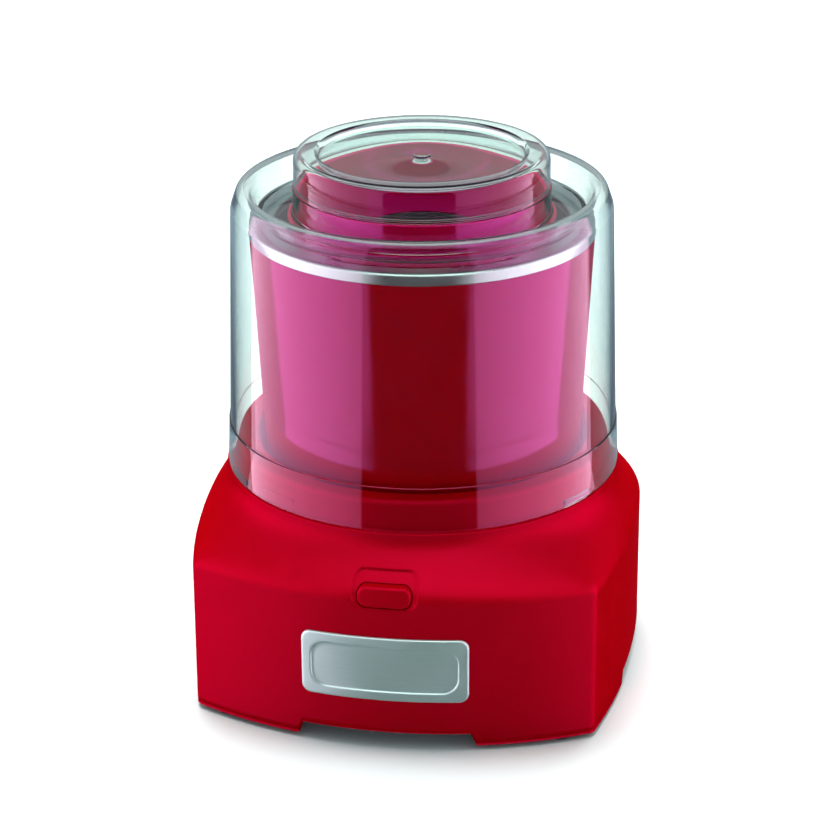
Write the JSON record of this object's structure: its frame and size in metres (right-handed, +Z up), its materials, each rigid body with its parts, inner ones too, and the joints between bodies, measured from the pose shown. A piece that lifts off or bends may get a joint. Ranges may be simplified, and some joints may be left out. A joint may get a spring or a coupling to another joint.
{
  "type": "ice cream maker",
  "caption": "Countertop ice cream maker: red motor base, double-wall freezer bowl turned by gears, mixing arm, clear twist-on lid with spout ring and cap.",
  "frame": {"origin": "centre of the footprint at the surface the feet stand on; the bowl axis is 9.75 mm behind it", "axes": "+Z up along the bowl axis, front with button and plate towards -Y, +X to the right seen from the front"},
  "size_m": [0.2412, 0.2478, 0.2888],
  "materials": {
    "red_plastic": "satin moulded red",
    "bowl_red": "gloss red",
    "ring_red": "gloss red",
    "clear_plastic": "clear, polished",
    "grey_plastic": "matte dark grey",
    "black_plastic": "matte black",
    "nylon": "natural nylon",
    "white_plastic": "satin white",
    "rubber": "matte",
    "plate_metal": "brushed, bright edge",
    "aluminium": "satin",
    "steel": "machined",
    "lamination": "stacked sheet",
    "copper": "enamelled wire",
    "bronze": "sintered",
    "coolant": "sealed gel"
  },
  "bodies": {
    "base": {"base_housing": "red_plastic", "bottom_cover": "grey_plastic", "nameplate": "plate_metal", "switch_body": "black_plastic", "cord_gland": "rubber", "gearbox_housing": "grey_plastic", "gearbox_cover": "grey_plastic", "idler_axle": "steel", "output_bush": "bronze", "motor_can": "steel", "motor_mount_ring": "rubber", "motor_stator": "lamination", "motor_windings": "copper", "motor_bushes": "bronze", "cover_screws": "steel", "gearbox_screws": "steel", "motor_screws": "steel", "foot_front_left": "rubber", "foot_front_right": "rubber", "foot_rear_left": "rubber", "foot_rear_right": "rubber"},
    "button": {"power_button": "red_plastic"},
    "drive": {"output_gear": "nylon", "output_shaft": "steel", "drive_coupler": "nylon"},
    "idler": {"idler_gear": "nylon"},
    "rotor": {"rotor_shaft": "steel", "rotor_core": "lamination", "motor_pinion": "steel", "cooling_fan": "black_plastic"},
    "bowl": {"bowl_shell": "bowl_red", "bowl_liner": "aluminium", "bowl_rim": "aluminium", "bowl_coolant": "coolant", "bowl_socket": "nylon"},
    "arm": {"mixing_arm": "white_plastic"},
    "ring": {"spout_ring": "ring_red"},
    "lid": {"lid_wall": "clear_plastic", "lid_crest": "clear_plastic", "lid_trough": "clear_plastic", "lid_collar": "clear_plastic"},
    "cap": {"cap_wall": "clear_plastic", "cap_top": "clear_plastic"}
  },
  "joints": [
    {"name": "button_press", "type": "slide", "parent": "base", "child": "button", "axis": [0, 1, 0], "range_m": [0, 0.002], "stiffness_N_per_m": 600},
    {"name": "bowl_spin", "type": "hinge", "parent": "base", "child": "drive", "pos_m": [0, 0.00975, 0.1], "axis": [0, 0, 1], "continuous": true},
    {"name": "idler_spin", "type": "hinge", "parent": "base", "child": "idler", "pos_m": [-0.04547, 0.036, 0.075], "axis": [0, 0, 1], "continuous": true},
    {"name": "rotor_spin", "type": "hinge", "parent": "base", "child": "rotor", "pos_m": [-0.05982, 0.00299, 0.04], "axis": [0, 0, 1], "continuous": true},
    {"name": "lid_lift", "type": "slide", "parent": "base", "child": "ring", "axis": [0, 0, 1], "range_m": [0, 0.36]},
    {"name": "bowl_lift", "type": "slide", "parent": "drive", "child": "bowl", "axis": [0, 0, 1], "range_m": [0, 0.06]},
    {"name": "arm_lift", "type": "slide", "parent": "base", "child": "arm", "axis": [0, 0, 1], "range_m": [0, 0.21]},
    {"name": "lid_twist", "type": "hinge", "parent": "ring", "child": "lid", "pos_m": [0, 0.00975, 0.2], "axis": [0, 0, 1], "range_deg": [0, 20]},
    {"name": "cap_lift", "type": "slide", "parent": "lid", "child": "cap", "axis": [0, 0, 1], "range_m": [0, 0.06]}
  ],
  "couplings": [
    {"joint": "idler_spin", "follows": "bowl_spin", "ratio": -5},
    {"joint": "rotor_spin", "follows": "bowl_spin", "ratio": 25},
    {"joint": "bowl_lift", "follows": "lid_lift", "ratio": 0.16},
    {"joint": "arm_lift", "follows": "lid_lift", "ratio": 0.58}
  ]
}
